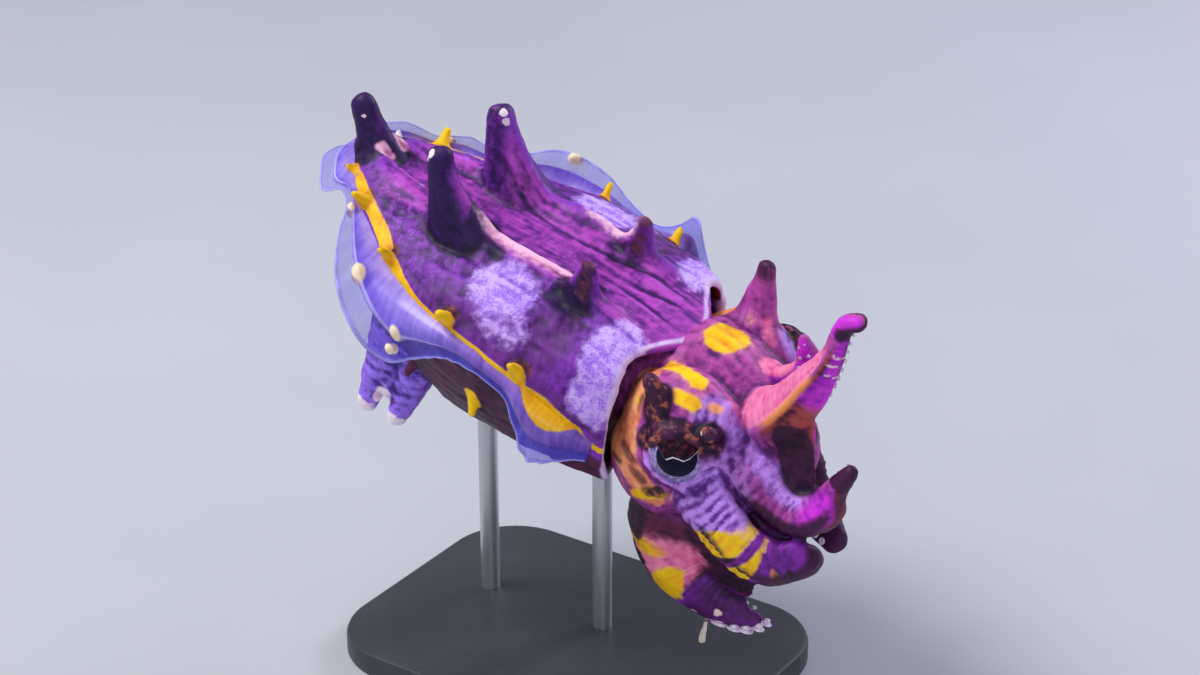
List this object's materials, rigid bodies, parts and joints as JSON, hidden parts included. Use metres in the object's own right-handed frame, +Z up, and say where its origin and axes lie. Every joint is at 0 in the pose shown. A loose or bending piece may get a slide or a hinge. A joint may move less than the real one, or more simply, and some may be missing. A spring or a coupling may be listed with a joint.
{
  "type": "flamboyant cuttlefish model on a display stand",
  "caption": "Life-size swimming flamboyant cuttlefish with horned mantle, rippling fins and raised arms, held over a flat base by two short rods.",
  "frame": {"origin": "middle of the stand base's underside", "axes": "+X towards the head, +Y to the animal's left, +Z up"},
  "size_m": [0.0984, 0.0502, 0.0887],
  "materials": {
    "mantle_skin": "painted skin, satin",
    "head_skin": "painted skin, satin",
    "arm_skin": "painted skin, satin",
    "fin_membrane": "translucent film, glossy",
    "eye": "wet gloss",
    "stand_base": "satin",
    "stand_rod": "brushed"
  },
  "bodies": {
    "root": {"mantle": "mantle_skin", "fin_right": "fin_membrane", "fin_left": "fin_membrane", "flap_right": "mantle_skin", "flap_left": "mantle_skin", "head": "head_skin", "funnel": "head_skin", "eye_right": "eye", "eye_left": "eye", "arm_right_1_root": "arm_skin", "arm_right_1_tip": "arm_skin", "arm_left_1_root": "arm_skin", "arm_left_1_tip": "arm_skin", "arm_right_2_root": "arm_skin", "arm_right_2_tip": "arm_skin", "arm_left_2_root": "arm_skin", "arm_left_2_tip": "arm_skin", "arm_right_3_root": "arm_skin", "arm_right_3_tip": "arm_skin", "arm_left_3_root": "arm_skin", "arm_left_3_tip": "arm_skin", "arm_right_4_root": "arm_skin", "arm_right_4_tip": "arm_skin", "arm_left_4_root": "arm_skin", "arm_left_4_tip": "arm_skin", "stand_base": "stand_base", "stand_rod_front": "stand_rod", "stand_rod_rear": "stand_rod"}
  },
  "joints": []
}
